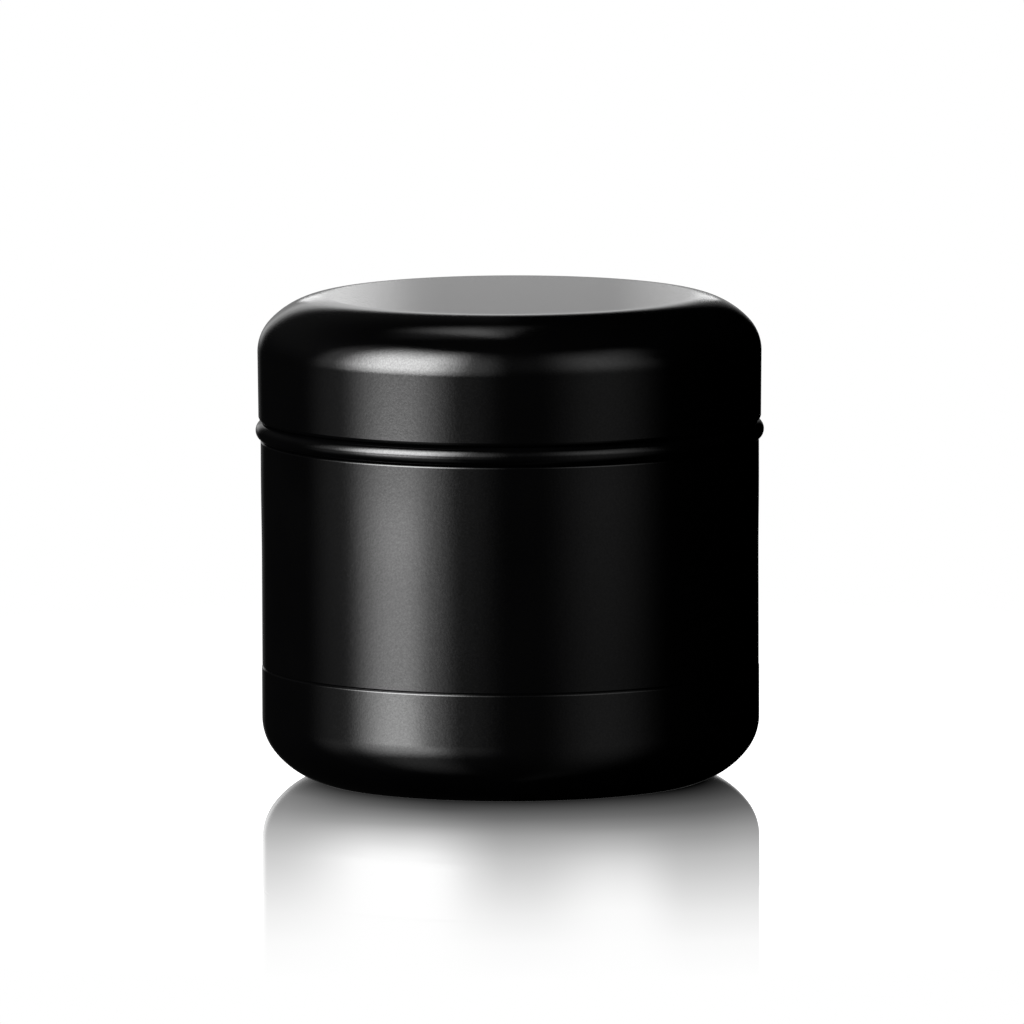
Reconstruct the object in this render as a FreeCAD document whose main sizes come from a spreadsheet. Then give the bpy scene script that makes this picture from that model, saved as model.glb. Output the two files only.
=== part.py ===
"""Round candle tin: a drawn steel cup with a slip lid, holding a poured candle.

Frame: millimetres, +Z up along the tin's axis, origin at the centre of the circle it stands on.
Every metal piece is one sheet of constant gauge, so each is drawn as a wall section and revolved.
"""

import FreeCAD, Part
import math
import os

import Sketcher

SIZES = {
    # Sheet metal
    "gauge": 0.30,
    # Cup: standing ring, recessed base panel and the two-arc corner above it
    "panel_r": 28.30,
    "panel_rise": 1.00,
    "ring_in_r": 29.30,
    "foot_r": 38.10,
    "foot_bend_r": 8.00,
    "foot_bend_turn": 37.0,
    "foot_arc_centre_r": 26.20,
    "foot_arc_dip": 0.62,
    # Cup: fine pressed line above the foot, and the wall, which opens a little towards the bead
    "line_z": 17.48,
    "line_width": 0.40,
    "line_depth": 0.14,
    "wall_r": 38.03,
    "flare_low_z": 33.38,
    "flare_top_z": 47.38,
    "wall_top_r": 38.14,
    "wall_top_z": 51.68,
    # Cup: bead that stops the lid, centred on its own small circle
    "bead_z": 53.38,
    "bead_centre_r": 37.30,
    "bead_arc_r": 1.60,
    "bead_foot_turn": 64.0,
    "bead_top_turn": 80.0,
    # Cup: neck inside the lid, and its rim curled inwards
    "neck_r": 37.15,
    "neck_foot_z": 55.23,
    "rim_z": 68.88,
    "curl_r": 0.60,
    # Lid: flat panel, two-arc shoulder, slightly tapered skirt and hemmed edge
    "lid_top_z": 74.13,
    "lid_flat_r": 27.50,
    "lid_r": 38.56,
    "lid_bend_r": 6.65,
    "lid_bend_turn": 43.0,
    "lid_foot_r": 38.46,
    "hem_r": 0.55,
    "hem_z": 55.54,
    "hem_top_z": 56.98,
    # Candle: fill level, meniscus, wick and its tab and sticker
    "wax_z": 56.88,
    "meniscus_rise": 0.50,
    "meniscus_run": 1.60,
    "cast_gap": 0.05,
    "wick_r": 1.25,
    "wick_top_z": 63.38,
    "tab_r": 10.00,
    "tab_gauge": 0.25,
    "tab_neck_wall": 0.30,
    "tab_neck_height": 6.00,
    "sticker_r": 10.00,
    "sticker_height": 0.80,
}

doc = FreeCAD.newDocument("CandleTin")
sheet = doc.addObject("Spreadsheet::Sheet", "Dims")
for row, (alias, size) in enumerate(SIZES.items(), start=1):
    sheet.set(f"A{row}", alias)
    sheet.set(f"B{row}", str(size))
    sheet.setAlias(f"B{row}", alias)
doc.recompute()


def cell(alias):
    return f"Dims.{alias}"


def number(expression):
    return float(sheet.evalExpression(expression))


def less(*terms):
    """The first term minus all the others, as one bracketed expression."""
    return "(" + " - ".join(terms) + ")"


def plus(*terms):
    return "(" + " + ".join(terms) + ")"


def on_circle(centre, radius, turn, rise=1):
    """Point of a circle, turn degrees from the horizontal, above (rise 1) or below (rise -1) it."""
    x, z = centre
    sign = "+" if rise > 0 else "-"
    return (f"({x} + {radius} * cos({turn}))", f"({z} {sign} {radius} * sin({turn}))")


def new_body(label):
    body = doc.addObject("PartDesign::Body", label)
    body.Label = label
    return body


def new_sketch(body, name, plane_role):
    sketch = body.newObject("Sketcher::SketchObject", name)
    plane = next(item for item in body.Origin.OriginFeatures if item.Role == plane_role)
    sketch.AttachmentSupport = [(plane, "")]
    sketch.MapMode = "FlatFace"
    return sketch


def bind(sketch, kind, places, expression):
    """Add one dimension to a sketch and drive it from the sheet."""
    index = sketch.addConstraint(Sketcher.Constraint(kind, *places, number(expression)))
    sketch.setExpression(f"Constraints[{index}]", expression)


def arc_centre(start, end, radius, turn):
    """Centre of the arc under half a circle that runs counterclockwise (turn 1) or clockwise (-1)."""
    chord = end - start
    middle = (start + end) * 0.5
    height = math.sqrt(radius**2 - (chord.Length / 2) ** 2)
    left = FreeCAD.Vector(-chord.y, chord.x, 0).normalize()
    return middle + left * (height * turn)


def add_edge(sketch, start, end, radius, turn):
    """Add a line, or an arc where a radius is given. Returns its index and its end's point number."""
    if radius is None:
        return sketch.addGeometry(Part.LineSegment(start, end)), 2
    centre = arc_centre(start, end, radius, turn)
    first, last = (start, end) if turn > 0 else (end, start)
    angle_from = math.atan2(first.y - centre.y, first.x - centre.x)
    angle_to = math.atan2(last.y - centre.y, last.x - centre.x)
    if angle_to < angle_from:
        angle_to += 2 * math.pi
    circle = Part.Circle(centre, FreeCAD.Vector(0, 0, 1), radius)
    index = sketch.addGeometry(Part.ArcOfCircle(circle, angle_from, angle_to))
    return index, 2 if turn > 0 else 1


def draw_section(sketch, corners):
    """Draw a closed outline through corners, each (x, z) or (x, z, arc radius, turn).

    A corner's arc is the one that leads to it. Every corner is placed by the sheet's sizes.
    """
    points = [FreeCAD.Vector(number(corner[0]), number(corner[1]), 0) for corner in corners]
    edges = []
    for here, corner in enumerate(corners):
        radius, turn = (number(corner[2]), corner[3]) if len(corner) == 4 else (None, 1)
        edges.append(add_edge(sketch, points[here - 1], points[here], radius, turn))
    for here, corner in enumerate(corners):
        index, end_point = edges[here]
        following, following_end = edges[(here + 1) % len(edges)]
        following_start = 3 - following_end
        sketch.addConstraint(
            Sketcher.Constraint("Coincident", index, end_point, following, following_start)
        )
        if corner[0] == "0":
            sketch.addConstraint(Sketcher.Constraint("PointOnObject", index, end_point, -2))
        else:
            bind(sketch, "DistanceX", (index, end_point), corner[0])
        if corner[1] == "0":
            sketch.addConstraint(Sketcher.Constraint("PointOnObject", index, end_point, -1))
        else:
            bind(sketch, "DistanceY", (index, end_point), corner[1])
        if len(corner) == 4:
            bind(sketch, "Radius", (index,), corner[2])


def revolve_section(label, corners):
    """A body of one revolved section, drawn on the XZ plane round the tin's axis."""
    body = new_body(label)
    sketch = new_sketch(body, label + "_section", "XZ_Plane")
    draw_section(sketch, corners)
    turned = body.newObject("PartDesign::Revolution", label + "_revolution")
    turned.Profile = sketch
    turned.ReferenceAxis = (sketch, ["V_Axis"])
    turned.Angle = 360.0
    body.Tip = turned
    return body


def pad_disc(label, radius, low_z, height):
    """A body of one padded circle on the tin's axis."""
    body = new_body(label)
    sketch = new_sketch(body, label + "_circle", "XY_Plane")
    sketch.AttachmentOffset = FreeCAD.Placement(FreeCAD.Vector(0, 0, number(low_z)), FreeCAD.Rotation())
    sketch.setExpression("AttachmentOffset.Base.z", low_z)
    circle = Part.Circle(FreeCAD.Vector(0, 0, 0), FreeCAD.Vector(0, 0, 1), number(radius))
    index = sketch.addGeometry(circle)
    sketch.addConstraint(Sketcher.Constraint("Coincident", index, 3, -1, 1))
    bind(sketch, "Radius", (index,), radius)
    pad = body.newObject("PartDesign::Pad", label + "_pad")
    pad.Profile = sketch
    pad.Length = number(height)
    pad.setExpression("Length", height)
    body.Tip = pad
    return body


def two_arc_corner(wall_r, centre_r, flat_z, bend_r, turn, up, inset="0", dip="0"):
    """Corner between an upright wall and a flat: a tight bend at the wall, then a larger arc.

    The larger arc is centred centre_r from the axis and would reach dip past the flat, which
    cuts it. up is 1 where the flat closes the top and -1 where it closes the bottom. inset moves
    the surface inwards. Returns the three points and the two radii, from the wall to the flat.
    """
    large_r = f"({bend_r} + ({wall_r} - {bend_r} - {centre_r}) / cos({turn}))"
    inset_large_r = less(large_r, inset)
    flat_r = f"({centre_r} + sqrt(2 * {inset_large_r} * {dip} - {dip} * {dip}))"
    sign = "-" if up > 0 else "+"
    bend_z = f"({flat_z} {sign} ({large_r} - {dip} - ({large_r} - {bend_r}) * sin({turn})))"
    bend_centre = (less(wall_r, bend_r), bend_z)
    inset_bend_r = less(bend_r, inset)
    return {
        "wall": (less(wall_r, inset), bend_z),
        "middle": on_circle(bend_centre, inset_bend_r, turn, up),
        "flat": (flat_r, "0" if (flat_z, inset) == ("0", "0") else f"({flat_z} {sign} {inset})"),
        "bend_r": inset_bend_r,
        "large_r": inset_large_r,
    }


GAUGE = cell("gauge")
GAP = cell("cast_gap")
LINE_LOW_Z = less(cell("line_z"), f"{cell('line_width')} / 2")
LINE_TOP_Z = plus(cell("line_z"), f"{cell('line_width')} / 2")
BEAD_CENTRE = (cell("bead_centre_r"), cell("bead_z"))
PANEL_TOP_Z = plus(cell("panel_rise"), GAUGE)


def foot_corner(inset):
    return two_arc_corner(
        cell("foot_r"), cell("foot_arc_centre_r"), "0", cell("foot_bend_r"), cell("foot_bend_turn"), -1, inset,
        cell("foot_arc_dip"),
    )


def neck_foot(inset):
    """Height where the surface inset from the neck meets the slope that rises from the bead."""
    top_x, top_z = on_circle(BEAD_CENTRE, less(cell("bead_arc_r"), inset), cell("bead_top_turn"))
    outer_x, outer_z = on_circle(BEAD_CENTRE, cell("bead_arc_r"), cell("bead_top_turn"))
    slope = f"(({cell('neck_foot_z')} - {outer_z}) / ({outer_x} - {cell('neck_r')}))"
    return f"({top_z} + {slope} * ({top_x} - {less(cell('neck_r'), inset)}))"


def cup_wall(inset):
    """The cup's side from the foot corner to the top of the bead, inset from its outer face."""
    bead_r = less(cell("bead_arc_r"), inset)
    return [
        (less(cell("foot_r"), inset), LINE_LOW_Z),
        (less(cell("foot_r"), cell("line_depth"), inset), cell("line_z")),
        (less(cell("wall_r"), inset), LINE_TOP_Z),
        (less(cell("wall_r"), inset), cell("flare_low_z")),
        (less(cell("wall_top_r"), inset), cell("flare_top_z")),
        (less(cell("wall_top_r"), inset), cell("wall_top_z")),
        on_circle(BEAD_CENTRE, bead_r, cell("bead_foot_turn"), -1),
        (plus(BEAD_CENTRE[0], bead_r), BEAD_CENTRE[1], bead_r, 1),
        (*on_circle(BEAD_CENTRE, bead_r, cell("bead_top_turn")), bead_r, 1),
        (less(cell("neck_r"), inset), neck_foot(inset)),
    ]


def downward(corners):
    """The same outline walked the other way. Each arc then belongs to the corner it now leads to."""
    walked = []
    for here in range(len(corners) - 1, -1, -1):
        corner = corners[here][:2]
        arc = corners[here + 1][2:] if here + 1 < len(corners) else ()
        walked.append((*corner, arc[0], -arc[1]) if arc else corner)
    return walked


def make_cup():
    outer = foot_corner("0")
    inner = foot_corner(GAUGE)
    curl_r = cell("curl_r")
    curl_in_r = less(curl_r, GAUGE)
    curl_x = less(cell("neck_r"), curl_r)
    curl_z = less(cell("rim_z"), curl_r)
    corners = [
        ("0", cell("panel_rise")),
        (cell("panel_r"), cell("panel_rise")),
        (cell("ring_in_r"), "0"),
        outer["flat"],
        (*outer["middle"], outer["large_r"], 1),
        (*outer["wall"], outer["bend_r"], 1),
        *cup_wall("0"),
        (cell("neck_r"), curl_z),
        (curl_x, cell("rim_z"), curl_r, 1),
        (less(curl_x, curl_r), curl_z, curl_r, 1),
        (curl_x, less(curl_z, curl_r), curl_r, 1),
        (curl_x, less(curl_z, curl_in_r)),
        (less(curl_x, curl_in_r), curl_z, curl_in_r, -1),
        (curl_x, plus(curl_z, curl_in_r), curl_in_r, -1),
        (less(cell("neck_r"), GAUGE), curl_z, curl_in_r, -1),
        *downward(cup_wall(GAUGE)),
        inner["wall"],
        (*inner["middle"], inner["bend_r"], -1),
        (*inner["flat"], inner["large_r"], -1),
        (cell("ring_in_r"), GAUGE),
        (cell("panel_r"), PANEL_TOP_Z),
        ("0", PANEL_TOP_Z),
    ]
    return revolve_section("tin_body", corners)


def make_lid():
    def shoulder(inset):
        return two_arc_corner(
            cell("lid_r"), cell("lid_flat_r"), cell("lid_top_z"), cell("lid_bend_r"), cell("lid_bend_turn"), 1, inset
        )

    outer = shoulder("0")
    inner = shoulder(GAUGE)
    hem_r = cell("hem_r")
    hem_in_r = less(hem_r, GAUGE)
    hem_x = less(cell("lid_foot_r"), hem_r)
    hem_z = cell("hem_z")
    corners = [
        ("0", less(cell("lid_top_z"), GAUGE)),
        inner["flat"],
        (*inner["middle"], inner["large_r"], -1),
        (*inner["wall"], inner["bend_r"], -1),
        (plus(hem_x, hem_in_r), hem_z),
        (hem_x, less(hem_z, hem_in_r), hem_in_r, -1),
        (less(hem_x, hem_in_r), hem_z, hem_in_r, -1),
        (less(hem_x, hem_in_r), cell("hem_top_z")),
        (less(hem_x, hem_r), cell("hem_top_z")),
        (less(hem_x, hem_r), hem_z),
        (hem_x, less(hem_z, hem_r), hem_r, 1),
        (cell("lid_foot_r"), hem_z, hem_r, 1),
        outer["wall"],
        (*outer["middle"], outer["bend_r"], 1),
        (*outer["flat"], outer["large_r"], 1),
        ("0", cell("lid_top_z")),
    ]
    return revolve_section("lid", corners)


STICKER_TOP_Z = plus(PANEL_TOP_Z, cell("sticker_height"))
TAB_TOP_Z = plus(STICKER_TOP_Z, cell("tab_gauge"))
TAB_NECK_TOP_Z = plus(STICKER_TOP_Z, cell("tab_neck_height"))
TAB_BORE_R = plus(cell("wick_r"), GAP)
TAB_NECK_R = plus(TAB_BORE_R, cell("tab_neck_wall"))


def make_wax():
    """The fill takes the shape of the cup and closes round the tab and the wick."""
    inset = plus(GAUGE, GAP)
    corner = foot_corner(inset)
    neck_in_r = less(cell("neck_r"), inset)
    corners = [
        (plus(cell("tab_r"), GAP), PANEL_TOP_Z),
        (less(cell("panel_r"), GAP), PANEL_TOP_Z),
        (less(cell("ring_in_r"), GAP), inset),
        corner["flat"],
        (*corner["middle"], corner["large_r"], 1),
        (*corner["wall"], corner["bend_r"], 1),
        *cup_wall(inset),
        (neck_in_r, plus(cell("wax_z"), cell("meniscus_rise"))),
        (less(neck_in_r, cell("meniscus_run")), cell("wax_z")),
        (TAB_BORE_R, cell("wax_z")),
        (TAB_BORE_R, plus(TAB_NECK_TOP_Z, GAP)),
        (plus(TAB_NECK_R, GAP), plus(TAB_NECK_TOP_Z, GAP)),
        (plus(TAB_NECK_R, GAP), plus(TAB_TOP_Z, GAP)),
        (plus(cell("tab_r"), GAP), plus(TAB_TOP_Z, GAP)),
    ]
    return revolve_section("wax", corners)


def make_tab():
    corners = [
        (TAB_BORE_R, STICKER_TOP_Z),
        (cell("tab_r"), STICKER_TOP_Z),
        (cell("tab_r"), TAB_TOP_Z),
        (TAB_NECK_R, TAB_TOP_Z),
        (TAB_NECK_R, TAB_NECK_TOP_Z),
        (TAB_BORE_R, TAB_NECK_TOP_Z),
    ]
    return revolve_section("wick_tab", corners)


def make_wick():
    return pad_disc("wick", cell("wick_r"), STICKER_TOP_Z, less(cell("wick_top_z"), STICKER_TOP_Z))


def make_sticker():
    return pad_disc("wick_sticker", cell("sticker_r"), PANEL_TOP_Z, cell("sticker_height"))


bodies = [make_cup(), make_lid(), make_wax(), make_wick(), make_tab(), make_sticker()]
doc.recompute()

for item in doc.Objects:
    if "Invalid" in item.State or "Error" in item.State:
        raise RuntimeError(f"{item.Name} failed: {item.State}")
    if item.TypeId == "Sketcher::SketchObject" and not item.FullyConstrained:
        raise RuntimeError(f"{item.Name} is not fully constrained")

os.makedirs("parts", exist_ok=True)
for body in bodies:
    shape = body.Shape
    if shape.isNull() or not shape.isValid() or len(shape.Solids) != 1:
        raise RuntimeError(f"{body.Label} is not one valid solid")
for body in bodies:
    body.Shape.exportStep(os.path.join("parts", body.Label + ".step"))
    box = body.Shape.optimalBoundingBox(False, False)
    size = f"{box.XLength:.2f} x {box.YLength:.2f} x {box.ZMin:.2f}..{box.ZMax:.2f}"
    print(f"{body.Label:13s} {size} mm, {body.Shape.Volume / 1000:.2f} ml")
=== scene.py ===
"""Looks of the candle tin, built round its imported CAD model.

Everything is in metres in the CAD model's frame: +Z up along the tin's axis, the tin standing on
z = 0, and the photograph's viewer on the -Y side. Sections are written in millimetres, as
(distance from the axis, height), and every turned piece follows the section of its CAD solid,
with its creases rounded the way pressed sheet metal is.
"""

import math
import random

import bpy
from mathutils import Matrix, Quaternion, Vector, noise


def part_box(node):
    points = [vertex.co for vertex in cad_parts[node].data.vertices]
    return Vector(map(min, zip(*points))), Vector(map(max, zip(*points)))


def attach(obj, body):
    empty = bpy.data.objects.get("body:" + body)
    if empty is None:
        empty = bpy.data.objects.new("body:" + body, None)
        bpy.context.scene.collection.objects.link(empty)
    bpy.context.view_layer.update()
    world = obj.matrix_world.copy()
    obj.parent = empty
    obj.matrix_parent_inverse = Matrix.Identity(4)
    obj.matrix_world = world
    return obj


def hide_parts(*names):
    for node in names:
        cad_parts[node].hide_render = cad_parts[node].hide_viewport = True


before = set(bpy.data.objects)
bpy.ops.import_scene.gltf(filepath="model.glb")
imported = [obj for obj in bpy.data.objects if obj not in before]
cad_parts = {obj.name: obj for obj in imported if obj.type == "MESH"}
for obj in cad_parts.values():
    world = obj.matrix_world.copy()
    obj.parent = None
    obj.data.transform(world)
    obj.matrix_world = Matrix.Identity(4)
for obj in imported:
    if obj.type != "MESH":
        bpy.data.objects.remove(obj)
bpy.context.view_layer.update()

MM = 0.001
rng = random.Random(7)

# ------------------------------------------------------------------ sizes, in millimetres
GAUGE = 0.30
PANEL_R, PANEL_RISE, RING_IN_R = 28.30, 1.00, 29.30
FOOT_R, FOOT_BEND_R, FOOT_TURN, FOOT_ARC_CENTRE_R, FOOT_ARC_DIP = 38.10, 8.00, 37.0, 26.20, 0.62
LINE_LOW_Z, LINE_Z, LINE_TOP_Z, LINE_R, LINE_BEND_R, LINE_TURN = 16.95, 17.31, 17.53, 37.93, 0.36, 34.0
WALL_R, FLARE_LOW_Z, FLARE_TOP_Z, WALL_TOP_R, WALL_TOP_Z = 38.03, 33.38, 47.38, 38.14, 51.63
BEAD_R, BEAD_Z, BEAD_ARC_R, BEAD_FOOT_TURN, BEAD_TOP_TURN = 37.40, 53.48, 1.50, 62.0, 80.0
WALL_TOP_BEND_R, WALL_TOP_TURN = 0.36, 75.0
NECK_R, NECK_FOOT_Z, CURL_R = 37.15, 55.23, 0.60
FLARE_STEPS = 40
RIM_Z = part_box("tin_body")[1].z / MM
LID_TOP_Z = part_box("lid")[1].z / MM
LID_R, LID_FLAT_R, LID_BEND_R, LID_TURN = 38.56, 27.50, 6.65, 43.0
LID_FOOT_R, HEM_R, HEM_TOP_Z, HEM_TUCK, HEM_TURN = 38.46, 0.60, 56.98, 0.05, 20.0
HEM_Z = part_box("lid")[0].z / MM + HEM_R
WAX_Z, MENISCUS_RISE, CAST_GAP = 56.88, 0.50, 0.05
WICK_R, TAB_R = 1.25, 10.00
WALL_REACH, WICK_RISE, WICK_REACH = 0.70, 0.45, 0.60
SINK, SINK_R, SINK_WIDTH = 0.22, 8.0, 6.0
WAX_WAVES = ((9, 0.10, 3.1), (3, 0.03, 8.7))
STRAND_THICKNESS = 0.8
WICK_LOW_Z, WICK_TOP_Z = (corner.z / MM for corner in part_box("wick"))
TAB_LOW_Z, TAB_TOP_Z = (corner.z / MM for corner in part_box("wick_tab"))
STICKER_LOW_Z, STICKER_TOP_Z = (corner.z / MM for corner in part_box("wick_sticker"))
TAB_GAUGE, TAB_NECK_WALL = 0.25, 0.30

SEGMENTS = 192
ARC_STEP = 5.0
LONGEST_CHORD = 0.38
LONGEST = 3.0
GUARD = 0.05


# ------------------------------------------------------------------ sections
def arc(centre, radius, start, end):
    """Points of a circle between two angles in degrees, measured from outwards towards up."""
    sweep = abs(end - start)
    count = max(2, math.ceil(sweep / ARC_STEP), math.ceil(radius * math.radians(sweep) / LONGEST_CHORD))
    angles = [math.radians(start + (end - start) * i / count) for i in range(count + 1)]
    return [(centre[0] + radius * math.cos(t), centre[1] + radius * math.sin(t)) for t in angles]


def soften(points, radius):
    """Round every crease of a section sharper than an arc's own steps."""
    smooth = [points[0]]
    for before, here, after in zip(points, points[1:], points[2:]):
        into, out = Vector(here) - Vector(before), Vector(after) - Vector(here)
        turn = abs(into.angle(out)) if into.length > 1e-9 and out.length > 1e-9 else 0.0
        if math.degrees(turn) < 1.6 * ARC_STEP:
            smooth.append(here)
            continue
        cut = min(radius * math.tan(turn / 2), 0.45 * into.length, 0.45 * out.length)
        start, end = Vector(here) - into.normalized() * cut, Vector(here) + out.normalized() * cut
        steps = max(3, math.ceil(math.degrees(turn) / 15))
        for i in range(steps + 1):
            t = i / steps
            point = start * (1 - t) ** 2 + Vector(here) * 2 * t * (1 - t) + end * t**2
            smooth.append((point.x, point.y))
    smooth.append(points[-1])
    return smooth


def divide(points):
    """Split long runs, with a close pair of rings at each end so that flat faces shade flat."""
    divided = [points[0]]
    for before, here in zip(points, points[1:]):
        run = math.dist(before, here)
        if run < 1e-6:
            continue
        stops = []
        if run > 8 * GUARD:
            inner = max(1, math.ceil((run - 2 * GUARD) / LONGEST))
            stops = [(GUARD + (run - 2 * GUARD) * i / inner) / run for i in range(inner + 1)]
        for t in [*stops, 1.0]:
            divided.append(tuple(a + (b - a) * t for a, b in zip(before, here)))
    return divided


def side_of_cup(inset):
    """The cup's side from its standing ring to the foot of the neck, inset from the outer face."""
    large_r = FOOT_BEND_R + (FOOT_R - FOOT_BEND_R - FOOT_ARC_CENTRE_R) / math.cos(math.radians(FOOT_TURN))
    large_z = large_r - FOOT_ARC_DIP
    bend_z = large_z - (large_r - FOOT_BEND_R) * math.sin(math.radians(FOOT_TURN))
    ring_turn = math.degrees(math.asin((large_z - inset) / (large_r - inset)))
    bead_r = BEAD_ARC_R - inset
    top_turn = math.radians(BEAD_TOP_TURN)
    slope_x, slope_z = BEAD_R + BEAD_ARC_R * math.cos(top_turn), BEAD_Z + BEAD_ARC_R * math.sin(top_turn)
    slope = (NECK_FOOT_Z - slope_z) / (slope_x - NECK_R)
    bead_top = (BEAD_R + bead_r * math.cos(top_turn), BEAD_Z + bead_r * math.sin(top_turn))
    neck_z = bead_top[1] + slope * (bead_top[0] - (NECK_R - inset))
    flare = []
    for i in range(FLARE_STEPS + 1):
        t = i / FLARE_STEPS
        radius = WALL_R + (WALL_TOP_R - WALL_R) * t * t * (3 - 2 * t)
        flare.append((radius - inset, FLARE_LOW_Z + (FLARE_TOP_Z - FLARE_LOW_Z) * t))
    return [
        *arc((FOOT_ARC_CENTRE_R, large_z), large_r - inset, -ring_turn, -FOOT_TURN),
        *arc((FOOT_R - FOOT_BEND_R, bend_z), FOOT_BEND_R - inset, -FOOT_TURN, 0)[1:],
        *arc((FOOT_R - LINE_BEND_R, LINE_LOW_Z), LINE_BEND_R - inset, 0, LINE_TURN),
        (LINE_R - inset, LINE_Z),
        (WALL_R - inset, LINE_TOP_Z),
        *flare,
        *arc((WALL_TOP_R - WALL_TOP_BEND_R, WALL_TOP_Z), WALL_TOP_BEND_R - inset, 0, WALL_TOP_TURN),
        *arc((BEAD_R, BEAD_Z), bead_r, -BEAD_FOOT_TURN, BEAD_TOP_TURN),
        (NECK_R - inset, neck_z),
    ]


def shoulder_of_lid(inset):
    """The lid's two-arc shoulder from the flat panel to the top of the skirt."""
    large_r = LID_BEND_R + (LID_R - LID_BEND_R - LID_FLAT_R) / math.cos(math.radians(LID_TURN))
    bend_z = LID_TOP_Z - large_r + (large_r - LID_BEND_R) * math.sin(math.radians(LID_TURN))
    return [
        *arc((LID_FLAT_R, LID_TOP_Z - large_r), large_r - inset, 90, LID_TURN),
        *arc((LID_R - LID_BEND_R, bend_z), LID_BEND_R - inset, LID_TURN, 0)[1:],
    ]


# ------------------------------------------------------------------ meshes
def mesh_piece(name, verts, faces, materials, slots, body, nodes):
    """A smooth shaded mesh object, in millimetres, that stands for its CAD nodes."""
    mesh = bpy.data.meshes.new(name)
    mesh.from_pydata([tuple(c * MM for c in v) for v in verts], [], faces)
    for material in materials:
        mesh.materials.append(material)
    mesh.polygons.foreach_set("material_index", slots)
    mesh.polygons.foreach_set("use_smooth", [True] * len(faces))
    mesh.validate()
    mesh.update()
    piece = bpy.data.objects.new(name, mesh)
    bpy.context.scene.collection.objects.link(piece)
    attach(piece, body)
    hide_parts(*nodes)
    return piece


def turned(runs, shape=None):
    """Vertices, outward faces and material numbers of a section turned round the axis.

    runs are (material number, points) that follow on from each other. A section that starts on
    the axis also ends there; any other closes on itself. shape may move a vertex.
    """
    section, numbers = [], []
    for number, points in runs:
        for point in points:
            if section and math.dist(section[-1], point) < 1e-6:
                numbers[-1] = number
                continue
            section.append(point)
            numbers.append(number)
    loop = section[0][0] > 1e-6
    if loop and math.dist(section[0], section[-1]) < 1e-6:
        section.pop()
        numbers.pop()
    verts, rings = [], []
    for radius, height in section:
        if radius < 1e-6:
            rings.append([len(verts)] * SEGMENTS)
            verts.append((0.0, 0.0, height))
            continue
        rings.append(list(range(len(verts), len(verts) + SEGMENTS)))
        for i in range(SEGMENTS):
            turn = 2 * math.pi * i / SEGMENTS
            verts.append((radius * math.cos(turn), radius * math.sin(turn), height))
    if shape:
        verts = [shape(v) for v in verts]
    faces, slots = [], []
    for here in range(len(rings) - (0 if loop else 1)):
        low, high = rings[here], rings[(here + 1) % len(rings)]
        for i in range(SEGMENTS):
            j = (i + 1) % SEGMENTS
            face = []
            for vertex in (low[i], low[j], high[j], high[i]):
                if vertex not in face:
                    face.append(vertex)
            faces.append(face)
            slots.append(numbers[here])
    closed = zip(section, [*section[1:], section[0]])
    if sum(a[0] * b[1] - b[0] * a[1] for a, b in closed) < 0:
        faces = [face[::-1] for face in faces]
    return verts, faces, slots


# ------------------------------------------------------------------ shader nodes
def add(tree, kind, inputs=None, **settings):
    """A shader node. inputs feed its sockets, by name or number, from a socket or with a plain value."""
    node = tree.nodes.new("ShaderNode" + kind)
    for name, value in settings.items():
        setattr(node, name, value)
    for key, value in (inputs or {}).items():
        if isinstance(value, bpy.types.NodeSocket):
            tree.links.new(value, node.inputs[key])
        else:
            node.inputs[key].default_value = value
    return node


def coordinates(tree, kind="Object"):
    return add(tree, "TexCoord").outputs[kind]


def along(tree, axis, vector):
    return add(tree, "SeparateXYZ", {"Vector": vector}).outputs[axis]


def length_of(tree, vector):
    return add(tree, "VectorMath", {0: vector}, operation="LENGTH").outputs["Value"]


def calculate(tree, operation, *values):
    return add(tree, "Math", dict(enumerate(values)), operation=operation).outputs["Value"]


def times(tree, first, second):
    return calculate(tree, "MULTIPLY", first, second)


def plus(tree, first, second):
    return calculate(tree, "ADD", first, second)


def ramp(tree, value, low, high, stops, eased=False):
    """Read a level off stops, each (position between low and high, level), joined straight or eased."""
    limits = {"Value": value, "From Min": low, "From Max": high}
    node = add(tree, "ValToRGB", {"Fac": add(tree, "MapRange", limits).outputs["Result"]})
    node.color_ramp.interpolation = "EASE" if eased else "LINEAR"
    elements = node.color_ramp.elements
    while len(elements) < len(stops):
        elements.new(0.5)
    for element, (position, level) in zip(elements, stops):
        element.position = (position - low) / (high - low)
        element.color = (level, level, level, 1.0)
    return node.outputs["Color"]


def grain(tree, vector, scale, detail=2.0, roughness=0.5):
    inputs = {"Vector": vector, "Scale": scale, "Detail": detail, "Roughness": roughness}
    return add(tree, "TexNoise", inputs).outputs["Fac"]


def spread(tree, value, low, high, start=0.3, end=0.7):
    """Map a noise value to low..high."""
    limits = {"Value": value, "From Min": start, "From Max": end, "To Min": low, "To Max": high}
    return add(tree, "MapRange", limits).outputs["Result"]


def blend_levels(tree, factor, first, second):
    return add(tree, "Mix", {0: factor, 2: first, 3: second}, data_type="FLOAT").outputs[0]


def blend_colours(tree, factor, first, second):
    return add(tree, "Mix", {0: factor, 6: (*first, 1.0), 7: (*second, 1.0)}, data_type="RGBA").outputs[2]


def bump(tree, height, distance, normal=None):
    inputs = {"Height": height, "Distance": distance, "Strength": 1.0}
    if normal is not None:
        inputs["Normal"] = normal
    return add(tree, "Bump", inputs).outputs["Normal"]


def mix_shaders(tree, factor, first, second):
    return add(tree, "MixShader", {0: factor, 1: first, 2: second}).outputs[0]


def new_material(name, **shader):
    """A Principled material and its tree, with the plain values set on the shader itself."""
    material = bpy.data.materials.new(name)
    material.use_nodes = True
    tree = material.node_tree
    principled = tree.nodes["Principled BSDF"]
    for key, value in shader.items():
        principled.inputs[key.replace("_", " ")].default_value = value
    return material, tree, principled


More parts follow.
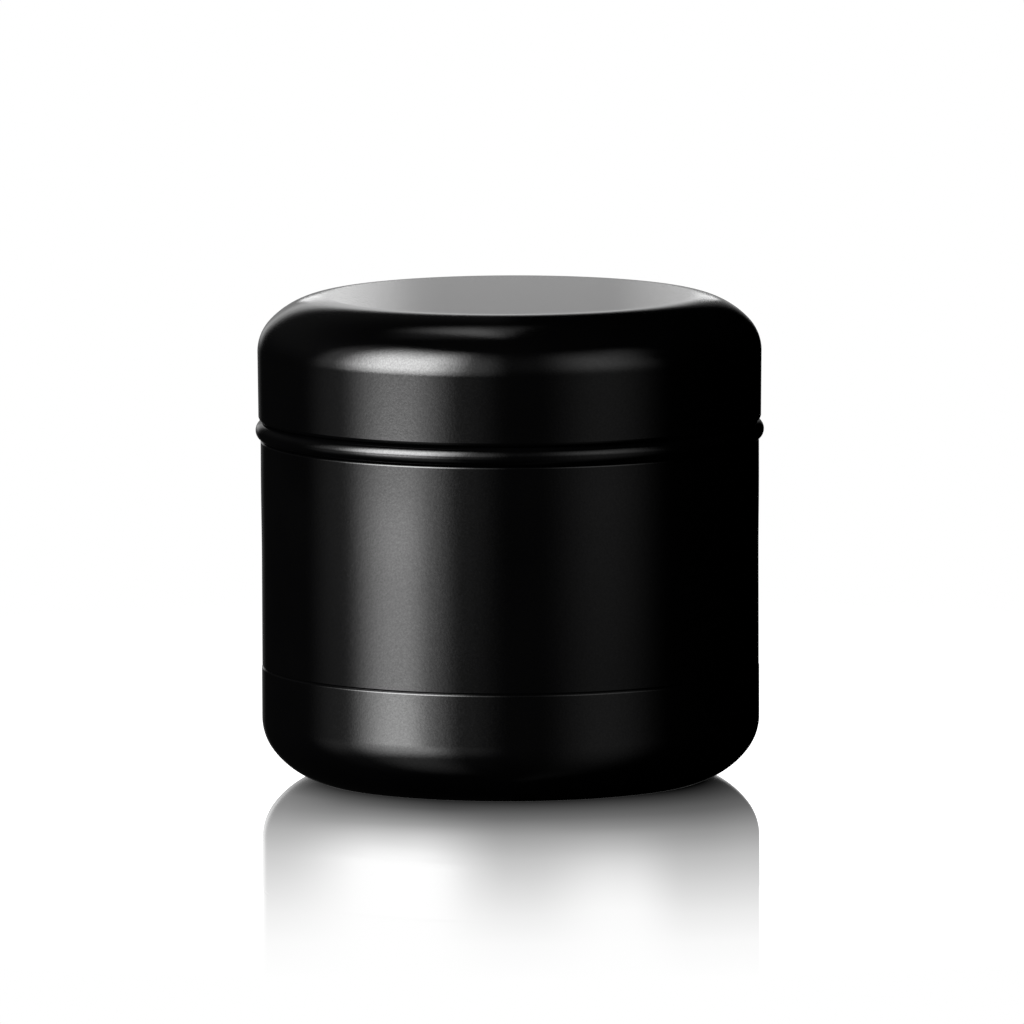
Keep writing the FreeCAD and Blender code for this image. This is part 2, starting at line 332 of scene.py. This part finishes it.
def feed(tree, shader, **sockets):
    """Link sockets to a shader's inputs, named with _ for a space."""
    for key, socket in sockets.items():
        tree.links.new(socket, shader.inputs[key.replace("_", " ")])


# ------------------------------------------------------------------ materials
# (height in millimetres, gloss): painted shade in the pressed line and in the creases under the bead and the
# hem, and painted light and shade along the wall, brightest below the pressed line
PAINTED_SHADE_LOW_Z, PAINTED_SHADE_HIGH_Z = 16.0, 56.0
PAINTED_SHADE_AND_SHINE_AT_HEIGHT = (
    (17.19, 1.155), (17.26, 0.05), (17.50, 0.05), (17.56, 0.80), (47.00, 1.08),
    (51.84, 1.05), (51.90, 0.02), (52.28, 0.02), (52.45, 1),
    (54.40, 1), (54.48, 0.1), (55.30, 0.1), (55.42, 1),
)


def make_paint():
    """Satin black coating: fine grain over orange peel, painted shade in the creases and painted light and
    shade along the wall through its gloss by height, faint dust on the flat top.
    """
    material, tree, shader = new_material("black_satin_paint")
    place = coordinates(tree)
    fine = grain(tree, place, 3200.0, 3.0, 0.6)
    peel = grain(tree, place, 900.0, 2.0)
    cloud = grain(tree, place, 60.0, 3.0)
    shade = spread(tree, cloud, 0.0, 1.0)
    coat = blend_colours(tree, shade, (0.0008, 0.0008, 0.0009), (0.0014, 0.0014, 0.0015))
    flat_top = ramp(tree, along(tree, "Z", coordinates(tree, "Normal")), 0.9, 1, ((0.99, 0), (0.999, 1)))
    specks = spread(tree, grain(tree, place, 1700.0, 3.0), 0.0, 1.0, 0.38, 0.66)
    dust = blend_colours(tree, times(tree, specks, flat_top), (0, 0, 0), (0.030, 0.030, 0.030))
    colour = add(tree, "VectorMath", {0: coat, 1: dust}, operation="ADD").outputs["Vector"]
    heights = [(z * MM, gloss_with_painted_shade) for z, gloss_with_painted_shade in PAINTED_SHADE_AND_SHINE_AT_HEIGHT]
    # the gloss by height paints shade into the creases and the pressed line, and paints light and shade along
    # the wall
    gloss_with_painted_shade = ramp(tree, along(tree, "Z", place), PAINTED_SHADE_LOW_Z * MM, PAINTED_SHADE_HIGH_Z * MM, heights)
    feed(
        tree, shader,
        Base_Color=colour,
        Roughness=spread(tree, fine, 0.08, 0.12),
        Specular_IOR_Level=times(tree, spread(tree, fine, 0.85, 1.15), gloss_with_painted_shade),
        Normal=bump(tree, fine, 0.000008, bump(tree, peel, 0.000006)),
    )
    return material


def make_tinplate():
    """Bare drawn tinplate: faint rings left by the drawing die, and a dull mottled tin coat."""
    material, tree, shader = new_material("bare_tinplate", Metallic=1.0, Anisotropic=0.3)
    place = coordinates(tree)
    parts = add(tree, "SeparateXYZ", {"Vector": place}).outputs
    flat = add(tree, "CombineXYZ", {"X": parts["X"], "Y": parts["Y"]}).outputs["Vector"]
    rings = add(tree, "CombineXYZ", {"X": length_of(tree, flat), "Z": parts["Z"]}).outputs["Vector"]
    drawn = grain(tree, rings, 1800.0, 4.0, 0.7)
    mottle = spread(tree, grain(tree, place, 120.0, 4.0), 0.0, 1.0)
    feed(
        tree, shader,
        Base_Color=blend_colours(tree, mottle, (0.56, 0.555, 0.53), (0.66, 0.65, 0.62)),
        Roughness=spread(tree, drawn, 0.24, 0.36),
        Normal=bump(tree, drawn, 0.0000035),
    )
    return material


def make_wax():
    """Poured container wax: milky, faintly frosted and mottled."""
    material, tree, shader = new_material(
        "poured_wax", Subsurface_Weight=0.55, Subsurface_Radius=(1.0, 0.75, 0.45), Subsurface_Scale=0.004,
        Specular_IOR_Level=0.4,
    )
    place = coordinates(tree)
    cloud = grain(tree, place, 90.0, 5.0, 0.62)
    frost = grain(tree, place, 900.0, 4.0, 0.6)
    feed(
        tree, shader,
        Base_Color=blend_colours(tree, spread(tree, cloud, 0.0, 1.0), (0.82, 0.76, 0.62), (0.88, 0.84, 0.74)),
        Roughness=spread(tree, frost, 0.34, 0.52),
        Normal=bump(tree, frost, 0.00002, bump(tree, cloud, 0.00012)),
    )
    return material


def make_cotton():
    """Waxed cotton yarn: fine fibres across a soft off-white."""
    material, tree, shader = new_material("waxed_cotton", Sheen_Weight=0.25, Sheen_Roughness=0.6)
    stretch = {0: coordinates(tree), 1: (1.0, 1.0, 0.25)}
    stretched = add(tree, "VectorMath", stretch, operation="MULTIPLY").outputs["Vector"]
    fibres = grain(tree, stretched, 9000.0, 3.0, 0.6)
    shade = spread(tree, fibres, 0.0, 1.0)
    feed(
        tree, shader,
        Base_Color=blend_colours(tree, shade, (0.72, 0.67, 0.56), (0.86, 0.83, 0.76)),
        Roughness=spread(tree, fibres, 0.55, 0.8),
        Normal=bump(tree, fibres, 0.00004),
    )
    return material


def make_foam():
    """White foam tape: small open cells on a matte sheet."""
    material, tree, shader = new_material("foam_tape", Specular_IOR_Level=0.3)
    cells = add(tree, "TexVoronoi", {"Vector": coordinates(tree), "Scale": 3500.0}).outputs["Distance"]
    feed(
        tree, shader,
        Base_Color=blend_colours(tree, cells, (0.70, 0.70, 0.69), (0.88, 0.88, 0.87)),
        Roughness=spread(tree, cells, 0.75, 0.95, 0.0, 1.0),
        Normal=bump(tree, cells, 0.00006),
    )
    return material


PAINT, TINPLATE, WAX, COTTON, FOAM = make_paint(), make_tinplate(), make_wax(), make_cotton(), make_foam()


# ------------------------------------------------------------------ the tin and its lid
CREASE, TAB_CREASE, STICKER_CREASE = 0.10, 0.08, 0.18


def make_cup():
    curl = (NECK_R - CURL_R, RIM_Z - CURL_R)
    outside = [
        (0.0, PANEL_RISE),
        (PANEL_R, PANEL_RISE),
        (RING_IN_R, 0.0),
        *side_of_cup(0.0),
    ]
    rolled = arc(curl, CURL_R, 0, 270)
    inside = [
        *arc(curl, CURL_R - GAUGE, 270, 0),
        *side_of_cup(GAUGE)[::-1],
        (RING_IN_R, GAUGE),
        (PANEL_R, PANEL_RISE + GAUGE),
        (0.0, PANEL_RISE + GAUGE),
    ]
    painted = divide(soften([*outside, *rolled], CREASE))
    bare = divide(soften(inside, CREASE))
    verts, faces, slots = turned([(0, painted), (1, bare)])
    return mesh_piece("cup", verts, faces, [PAINT, TINPLATE], slots, "tin", ["tin_body"])


def make_lid():
    hem = (LID_FOOT_R - HEM_TUCK - HEM_R, HEM_Z)
    turn = math.radians(HEM_TURN)
    edge_r, edge_z = hem[0] + HEM_R * math.cos(turn), hem[1] - HEM_R * math.sin(turn)
    tuck_z = edge_z + (LID_FOOT_R - edge_r) / math.tan(turn)
    outside = [
        (0.0, LID_TOP_Z),
        *shoulder_of_lid(0.0),
        (LID_FOOT_R, tuck_z),
        *arc(hem, HEM_R, -HEM_TURN, -180),
    ]
    inside = [
        (hem[0] - HEM_R, HEM_TOP_Z),
        (hem[0] - HEM_R + GAUGE, HEM_TOP_Z),
        *arc(hem, HEM_R - GAUGE, 180, 360 - HEM_TURN),
        *shoulder_of_lid(GAUGE)[::-1],
        (0.0, LID_TOP_Z - GAUGE),
    ]
    painted = divide(soften([*outside, inside[0]], CREASE))
    bare = divide(soften(inside, CREASE))
    verts, faces, slots = turned([(0, painted), (1, bare)])
    return mesh_piece("slip_lid", verts, faces, [PAINT, TINPLATE], slots, "lid", ["lid"])


# ------------------------------------------------------------------ the candle
def wax_surface(radius, wall_r, bore_r):
    """Height of the poured surface: it climbs the wall and the wick, and sinks a little between."""
    climb = MENISCUS_RISE * math.exp((radius - wall_r) / WALL_REACH)
    at_wick = WICK_RISE * math.exp((bore_r - radius) / WICK_REACH)
    sink = SINK * math.exp(-(((radius - SINK_R) / SINK_WIDTH) ** 2))
    return WAX_Z + climb + at_wick - sink


def make_wax_piece():
    inset = GAUGE + CAST_GAP
    wall_r, bore_r = NECK_R - inset, WICK_R + CAST_GAP
    neck_r = bore_r + TAB_NECK_WALL + CAST_GAP
    disc_r = TAB_R + CAST_GAP
    disc_z = TAB_LOW_Z + TAB_GAUGE + CAST_GAP
    floor_z = PANEL_RISE + GAUGE
    count = 48
    top = []
    for i in range(count + 1):
        t = i / count
        eased = 0.5 - 0.5 * math.cos(math.pi * t)
        radius = wall_r + (bore_r - wall_r) * eased
        top.append((radius, wax_surface(radius, wall_r, bore_r)))
    section = [
        (disc_r, floor_z),
        (PANEL_R - CAST_GAP, floor_z),
        (RING_IN_R - CAST_GAP, inset),
        *side_of_cup(inset),
        *top,
        (bore_r, TAB_TOP_Z + CAST_GAP),
        (neck_r, TAB_TOP_Z + CAST_GAP),
        (neck_r, disc_z),
        (disc_r, disc_z),
        (disc_r, floor_z),
    ]

    def uneven(v):
        """Slow waves over the poured surface, none at the wall or the wick."""
        x, y, z = v
        radius = math.hypot(x, y)
        if z < WAX_Z - 1 or radius > wall_r - 0.01:
            return v
        ease = min(1.0, (wall_r - radius) / 4) * min(1.0, (radius - bore_r) / 2)
        wave = sum(noise.noise(Vector((x / width, y / width, at))) * depth for width, depth, at in WAX_WAVES)
        return (x, y, z + wave * ease)

    verts, faces, slots = turned([(0, divide(soften(section, CREASE)))], uneven)
    return mesh_piece("poured_candle", verts, faces, [WAX], slots, "tin", ["wax"])


def tube(path, radius, sides):
    """Vertices and faces of a closed tube with rounded ends along a path of points."""
    verts, faces = [], []
    count = len(path)
    for i, here in enumerate(path):
        along = (path[min(i + 1, count - 1)] - path[max(i - 1, 0)]).normalized()
        across = along.cross(Vector((here.x, here.y, 0)).normalized()).normalized()
        outward = across.cross(along)
        end = min(i, count - 1 - i)
        size = radius * (0.45, 0.85)[end] if end < 2 else radius
        for k in range(sides):
            turn = 2 * math.pi * k / sides
            flat = size * STRAND_THICKNESS
            point = here + across * (size * math.cos(turn)) + outward * (flat * math.sin(turn))
            verts.append(tuple(point))
    for i in range(count - 1):
        for k in range(sides):
            m = (k + 1) % sides
            faces.append([i * sides + k, (i + 1) * sides + k, (i + 1) * sides + m, i * sides + m])
    faces.append(list(range(sides)))
    faces.append([(count - 1) * sides + k for k in reversed(range(sides))])
    return verts, faces


def make_wick():
    """Braided cotton: four strands each way round, passing over and under each other."""
    strands, pitch, strand_r, weave, step, frayed, sides = 4, 8.0, 0.42, 0.13, 0.25, 0.45, 8
    middle_r = WICK_R - STRAND_THICKNESS * strand_r - weave
    verts, faces = [], []
    for way in (1, -1):
        for k in range(strands):
            top = WICK_TOP_Z - rng.uniform(0.0, frayed)
            count = int((top - WICK_LOW_Z) / step)
            path = []
            for i in range(count + 1):
                z = WICK_LOW_Z + (top - WICK_LOW_Z) * i / count
                turn = way * 2 * math.pi * z / pitch + 2 * math.pi * k / strands
                radius = middle_r + way * weave * math.cos(strands * 2 * math.pi * z / pitch)
                path.append(Vector((radius * math.cos(turn), radius * math.sin(turn), z)))
            new_verts, new_faces = tube(path, strand_r, sides)
            faces += [[index + len(verts) for index in face] for face in new_faces]
            verts += new_verts
    return mesh_piece("braided_wick", verts, faces, [COTTON], [0] * len(faces), "tin", ["wick"])


def make_tab():
    """Stamped tab: a flat disc drawn up into a neck that is crimped on the wick."""
    bore_r = WICK_R + CAST_GAP
    neck_r = bore_r + TAB_NECK_WALL
    disc_z = TAB_LOW_Z + TAB_GAUGE
    section = [
        (bore_r, TAB_LOW_Z),
        (TAB_R, TAB_LOW_Z),
        (TAB_R, disc_z),
        (neck_r, disc_z),
        (neck_r, TAB_TOP_Z),
        (bore_r, TAB_TOP_Z),
        (bore_r, TAB_LOW_Z),
    ]
    verts, faces, slots = turned([(0, divide(soften(section, TAB_CREASE)))])
    return mesh_piece("stamped_tab", verts, faces, [TINPLATE], slots, "tin", ["wick_tab"])


def make_sticker():
    section = [
        (0.0, STICKER_LOW_Z),
        (TAB_R, STICKER_LOW_Z),
        (TAB_R, STICKER_TOP_Z),
        (0.0, STICKER_TOP_Z),
    ]
    verts, faces, slots = turned([(0, divide(soften(section, STICKER_CREASE)))])
    return mesh_piece("foam_sticker", verts, faces, [FOAM], slots, "tin", ["wick_sticker"])


make_cup()
make_lid()
make_wax_piece()
make_wick()
make_tab()
make_sticker()


# ------------------------------------------------------------------ studio
# Every soft edge is eased between two stops. Angles are in degrees: azimuth from the viewer's side towards
# +X, and elevation. Each light is its strength, its stops in azimuth and its stops in elevation.
LIGHTS = {
    "softbox at the left": (
        8.2,
        ((-104, 0), (-90, 0.04), (-59, 1), (-46, 1), (-16, 0.05), (0, 0)),
        ((-5, 0), (2, 0.5), (14, 1), (26, 1), (64, 0)),
    ),
    "the softbox in the floor": (
        1.3,
        ((-110, 0), (-86, 0.07), (-54, 1), (-48, 1), (-22, 0.06), (0, 0)),
        ((-76, 0), (-37, 0.14), (-13, 1.55), (-7, 1), (7, 1), (14, 0)),
    ),
    "a weak card at the right": (
        0.44,
        ((-10, 0.04), (12, 0.08), (43, 1), (45, 1), (80, 0)),
        ((-66, 0.03), (-4, 0.20), (24, 1), (28, 1), (64, 0)),
    ),
    "the weak card's upper corner": (
        0.10,
        ((48, 0), (66, 1), (90, 0)),
        ((26, 0), (46, 1), (60, 0)),
    ),
    "a small light nearly overhead": (
        0.66,
        ((-180, 0.30), (-164, 1), (-156, 1), (-130, 0.12), (-104, 0), (171, 0), (180, 0.30)),
        ((54, 0), (71, 1), (74, 1), (88, 0)),
    ),
}
# direction of the middle of the wall behind
WALL_BEHIND = (-0.0523, 0.9973, 0.0523)
# how much of the studio's light matte surfaces get
DIFFUSE_SHARE = 0.55
# how far the floor's stops go across and away from the tin, in metres
HALF_STAGE, STAGE_REACH = 0.05, 0.3


def angles_of(tree, direction):
    """Azimuth and elevation of a direction, in degrees."""
    parts = add(tree, "SeparateXYZ", {"Vector": direction}).outputs
    azimuth = calculate(tree, "ARCTAN2", parts["X"], times(tree, parts["Y"], -1.0))
    elevation = calculate(tree, "ARCSINE", parts["Z"])
    degrees = math.degrees(1)
    return times(tree, azimuth, degrees), times(tree, elevation, degrees)


def wall_behind(tree, direction, azimuth, elevation):
    """A soft patch of wall behind the tin, which the lid's flat panel mirrors."""
    cosine = add(tree, "VectorMath", {0: direction, 1: WALL_BEHIND}, operation="DOT_PRODUCT").outputs["Value"]
    off_centre = times(tree, calculate(tree, "ARCCOSINE", cosine), math.degrees(1))
    patch = ramp(
        tree, off_centre, 0, 90,
        ((0, 0.20), (6.5, 0.48), (8, 0.95), (10, 1.06), (15, 0.86), (18, 0.25), (21, 0.04), (24, 0)),
    )
    beside = ramp(
        tree, azimuth, -180, 180,
        ((-180, 1), (-176, 1), (-160, 0.2), (-146, 0), (170, 0), (174, 0.12), (178, 0.85), (180, 1)),
    )
    above_floor = ramp(tree, elevation, -90, 90, ((-22, 0), (-7, 0.08), (-4, 0.2), (-1, 0.8), (2, 1)))
    return times(tree, times(tree, patch, beside), above_floor)


def make_world():
    """White all round for the eye; for the tin's reflections, a dark studio with soft lights."""
    world = bpy.data.worlds.new("studio")
    bpy.context.scene.world = world
    world.use_nodes = True
    tree = world.node_tree
    tree.nodes.clear()
    direction = coordinates(tree, "Generated")
    azimuth, elevation = angles_of(tree, direction)
    total = wall_behind(tree, direction, azimuth, elevation)
    for strength, azimuth_stops, elevation_stops in LIGHTS.values():
        across = ramp(tree, azimuth, -180, 180, azimuth_stops, eased=True)
        upward = ramp(tree, elevation, -90, 90, elevation_stops, eased=True)
        total = plus(tree, total, times(tree, times(tree, across, upward), strength))
    path = add(tree, "LightPath").outputs
    seen = calculate(tree, "MAXIMUM", path["Is Camera Ray"], path["Is Singular Ray"])
    total = times(tree, total, blend_levels(tree, path["Is Diffuse Ray"], 1.0, DIFFUSE_SHARE))
    strength = blend_levels(tree, seen, total, 1.0)
    background = add(tree, "Background", {"Color": (1, 1, 1, 1), "Strength": strength}).outputs["Background"]
    add(tree, "OutputWorld", {"Surface": background})


def stage_piece(name, verts, faces):
    """A piece of the studio that gives no matte light and no shadow, and its material's empty node tree."""
    mesh = bpy.data.meshes.new(name)
    mesh.from_pydata(verts, [], faces)
    piece = bpy.data.objects.new(name, mesh)
    bpy.context.scene.collection.objects.link(piece)
    piece.visible_diffuse = False
    piece.visible_shadow = False
    material = bpy.data.materials.new(name)
    material.use_nodes = True
    material.node_tree.nodes.clear()
    mesh.materials.append(material)
    return piece, material.node_tree


def floor_share(tree, place):
    """How much the floor mirrors, from 0 to 1. The rest is its own white, and painted glows take over parts
    of the mirror as painted light and painted reflections.
    """
    away = length_of(tree, place)
    across = along(tree, "X", place)
    share = ramp(
        tree, away, 0.0, STAGE_REACH,
        (
            (0.030, 0.985), (0.050, 0.845), (0.070, 0.645), (0.095, 0.455), (0.125, 0.29), (0.155, 0.14),
            (0.185, 0.04), (0.220, 0),
        ),
    )
    side_stops = ((0.012, 0), (0.029, 0.09), (0.036, 0.06))
    unlit_side = ramp(tree, across, -HALF_STAGE, HALF_STAGE, side_stops, eased=True)
    unlit_reach = ramp(tree, away, 0.0, STAGE_REACH, ((0.045, 0.2), (0.075, 1), (0.150, 1.8)))
    share = times(tree, share, plus(tree, times(tree, unlit_side, unlit_reach), 1.0))
    # each painted glow is painted light that hides part of the mirror: its stops across the floor, its stops
    # away from the tin, and eased
    painted_floor_glows = (
        # painted light: a haze of the softbox's light over the left flank
        (((-0.034, 0.125), (-0.026, 0.06), (-0.010, 0)), ((0.030, 0.1), (0.034, 0.5), (0.040, 1)), False),
        # painted reflection: a soft image of the softbox
        (
            ((-0.036, 0), (-0.020, 1), (-0.015, 1), (0, 0)),
            ((0.040, 0), (0.058, 0.13), (0.098, 0.88), (0.120, 0.93)),
            True,
        ),
        # painted reflection: a soft image of the weak card
        (
            ((0.002, 0), (0.015, 1), (0.017, 1), (0.026, 0)),
            ((0.062, 0), (0.085, 0.12), (0.120, 0.47), (0.150, 0.76)),
            True,
        ),
    )
    for side_stops, away_stops, eased in painted_floor_glows:
        side = ramp(tree, across, -HALF_STAGE, HALF_STAGE, side_stops, eased)
        glow = times(tree, side, ramp(tree, away, 0.0, STAGE_REACH, away_stops))
        share = times(tree, share, calculate(tree, "SUBTRACT", 1.0, glow))
    return share


def make_floor():
    """Polished white acrylic: it mirrors the tin close by and turns plain white further out, with painted
    light and painted reflections over parts of its mirror.
    """
    radius, drop, count, mirror_gain = 8.0, 0.00001, 64, 1.8
    turns = [2 * math.pi * i / count for i in range(count)]
    rim = [(radius * math.cos(t), radius * math.sin(t), -drop) for t in turns]
    floor, tree = stage_piece("floor", rim, [list(range(count))])
    floor.visible_glossy = False
    tint = (mirror_gain, mirror_gain, mirror_gain, 1)
    mirror = add(tree, "BsdfAnisotropic", {"Roughness": 0.0, "Color": tint}).outputs[0]
    white = add(tree, "Emission", {"Color": (1, 1, 1, 1), "Strength": 1.0}).outputs[0]
    above = mix_shaders(tree, floor_share(tree, coordinates(tree)), white, mirror)
    clear = add(tree, "BsdfTransparent").outputs[0]
    from_below = add(tree, "NewGeometry").outputs["Backfacing"]
    add(tree, "OutputMaterial", {"Surface": mix_shaders(tree, from_below, above, clear)})


def light_card(name, verts, faces):
    """A card that the camera doesn't see, and its material's empty node tree."""
    card, tree = stage_piece(name, verts, faces)
    card.visible_camera = False
    return card, tree


def shine(tree, level):
    """Make a card give light of this level and hide nothing."""
    glow = add(tree, "Emission", {"Strength": level}).outputs[0]
    clear = add(tree, "BsdfTransparent").outputs[0]
    add(tree, "OutputMaterial", {"Surface": add(tree, "AddShader", {0: glow, 1: clear}).outputs[0]})


def make_sheen():
    """The near part of the softbox in the floor, which only the low wall of the tin mirrors."""
    radius, low_z, high_z, count = 0.45, -0.090, 0.012, 96
    turns = [-math.pi * i / (count - 1) for i in range(count)]
    verts = [(radius * math.sin(t), -radius * math.cos(t), z) for z in (low_z, high_z) for t in turns]
    faces = [[i, i + 1, count + i + 1, count + i] for i in range(count - 1)]
    _, tree = light_card("floor_sheen", verts, faces)
    place = coordinates(tree)
    azimuth, _ = angles_of(tree, place)
    round_level = ramp(tree, azimuth, -180, 180, ((-78, 0), (-53, 1), (-49, 1), (-35, 0)), eased=True)
    up_level = ramp(
        tree, along(tree, "Z", place), low_z, high_z,
        (
            (-0.090, 0), (-0.070, 0.86), (-0.050, 2.1), (-0.042, 2.05), (-0.0374, 1.78), (-0.0358, 0.97),
            (-0.020, 1.1), (-0.013, 1.05), (0.006, 0.22), (0.012, 0.05),
        ),
    )
    shine(tree, times(tree, round_level, up_level))


def make_back_card():
    """The brighter ends of the wall behind, which only the lid's flat panel mirrors."""
    half, far, low_z, high_z = 0.060, 0.30, 0.096, 0.126
    verts = [(x, far, z) for z in (low_z, high_z) for x in (-half, half)]
    _, tree = light_card("back_card", verts, [[0, 1, 3, 2]])
    place = coordinates(tree)
    ends = ramp(
        tree, along(tree, "X", place), -half, half,
        (
            (-0.060, 0), (-0.056, 1.2), (-0.042, 0.95), (-0.033, 0.6), (-0.029, 0.6), (-0.016, 0.05),
            (-0.012, 0),
            (0.018, 0), (0.028, 0.25), (0.034, 0.4), (0.042, 0.8), (0.056, 1.0), (0.060, 0),
        ),
    )
    height = along(tree, "Z", place)
    rear = ramp(tree, height, low_z, high_z, ((0.104, 1.6), (0.1066, 1.5), (0.1085, 1.1), (0.114, 0.9)))
    middle = ramp(tree, height, low_z, high_z, ((0.104, 0.20), (0.1075, 0.05), (0.111, 0)))
    shine(tree, plus(tree, times(tree, ends, rear), middle))


def make_camera():
    """The photograph's view: nearly level, from far away, with the tin a little below the middle."""
    distance, elevation, roll = 2.8, math.radians(6.85), math.radians(0.2)
    aim_right, aim_up, target_z = 0.30 * MM, 5.24 * MM, 35.38 * MM
    target = Vector((0, 0, target_z))
    back = Vector((0, -math.cos(elevation), math.sin(elevation)))
    up = Vector((0, math.sin(elevation), math.cos(elevation)))
    place = target + back * distance
    aim = target + Vector((aim_right, 0, 0)) + up * aim_up
    data = bpy.data.cameras.new("camera")
    data.sensor_width = 36.0
    data.lens = 642.8
    camera = bpy.data.objects.new("camera", data)
    camera.location = place
    camera.rotation_mode = "QUATERNION"
    camera.rotation_quaternion = (aim - place).to_track_quat("-Z", "Y") @ Quaternion((0, 0, 1), -roll)
    bpy.context.scene.collection.objects.link(camera)
    bpy.context.scene.camera = camera


make_camera()
make_world()
make_floor()
make_sheen()
make_back_card()
bpy.context.scene.view_settings.view_transform = "Standard"
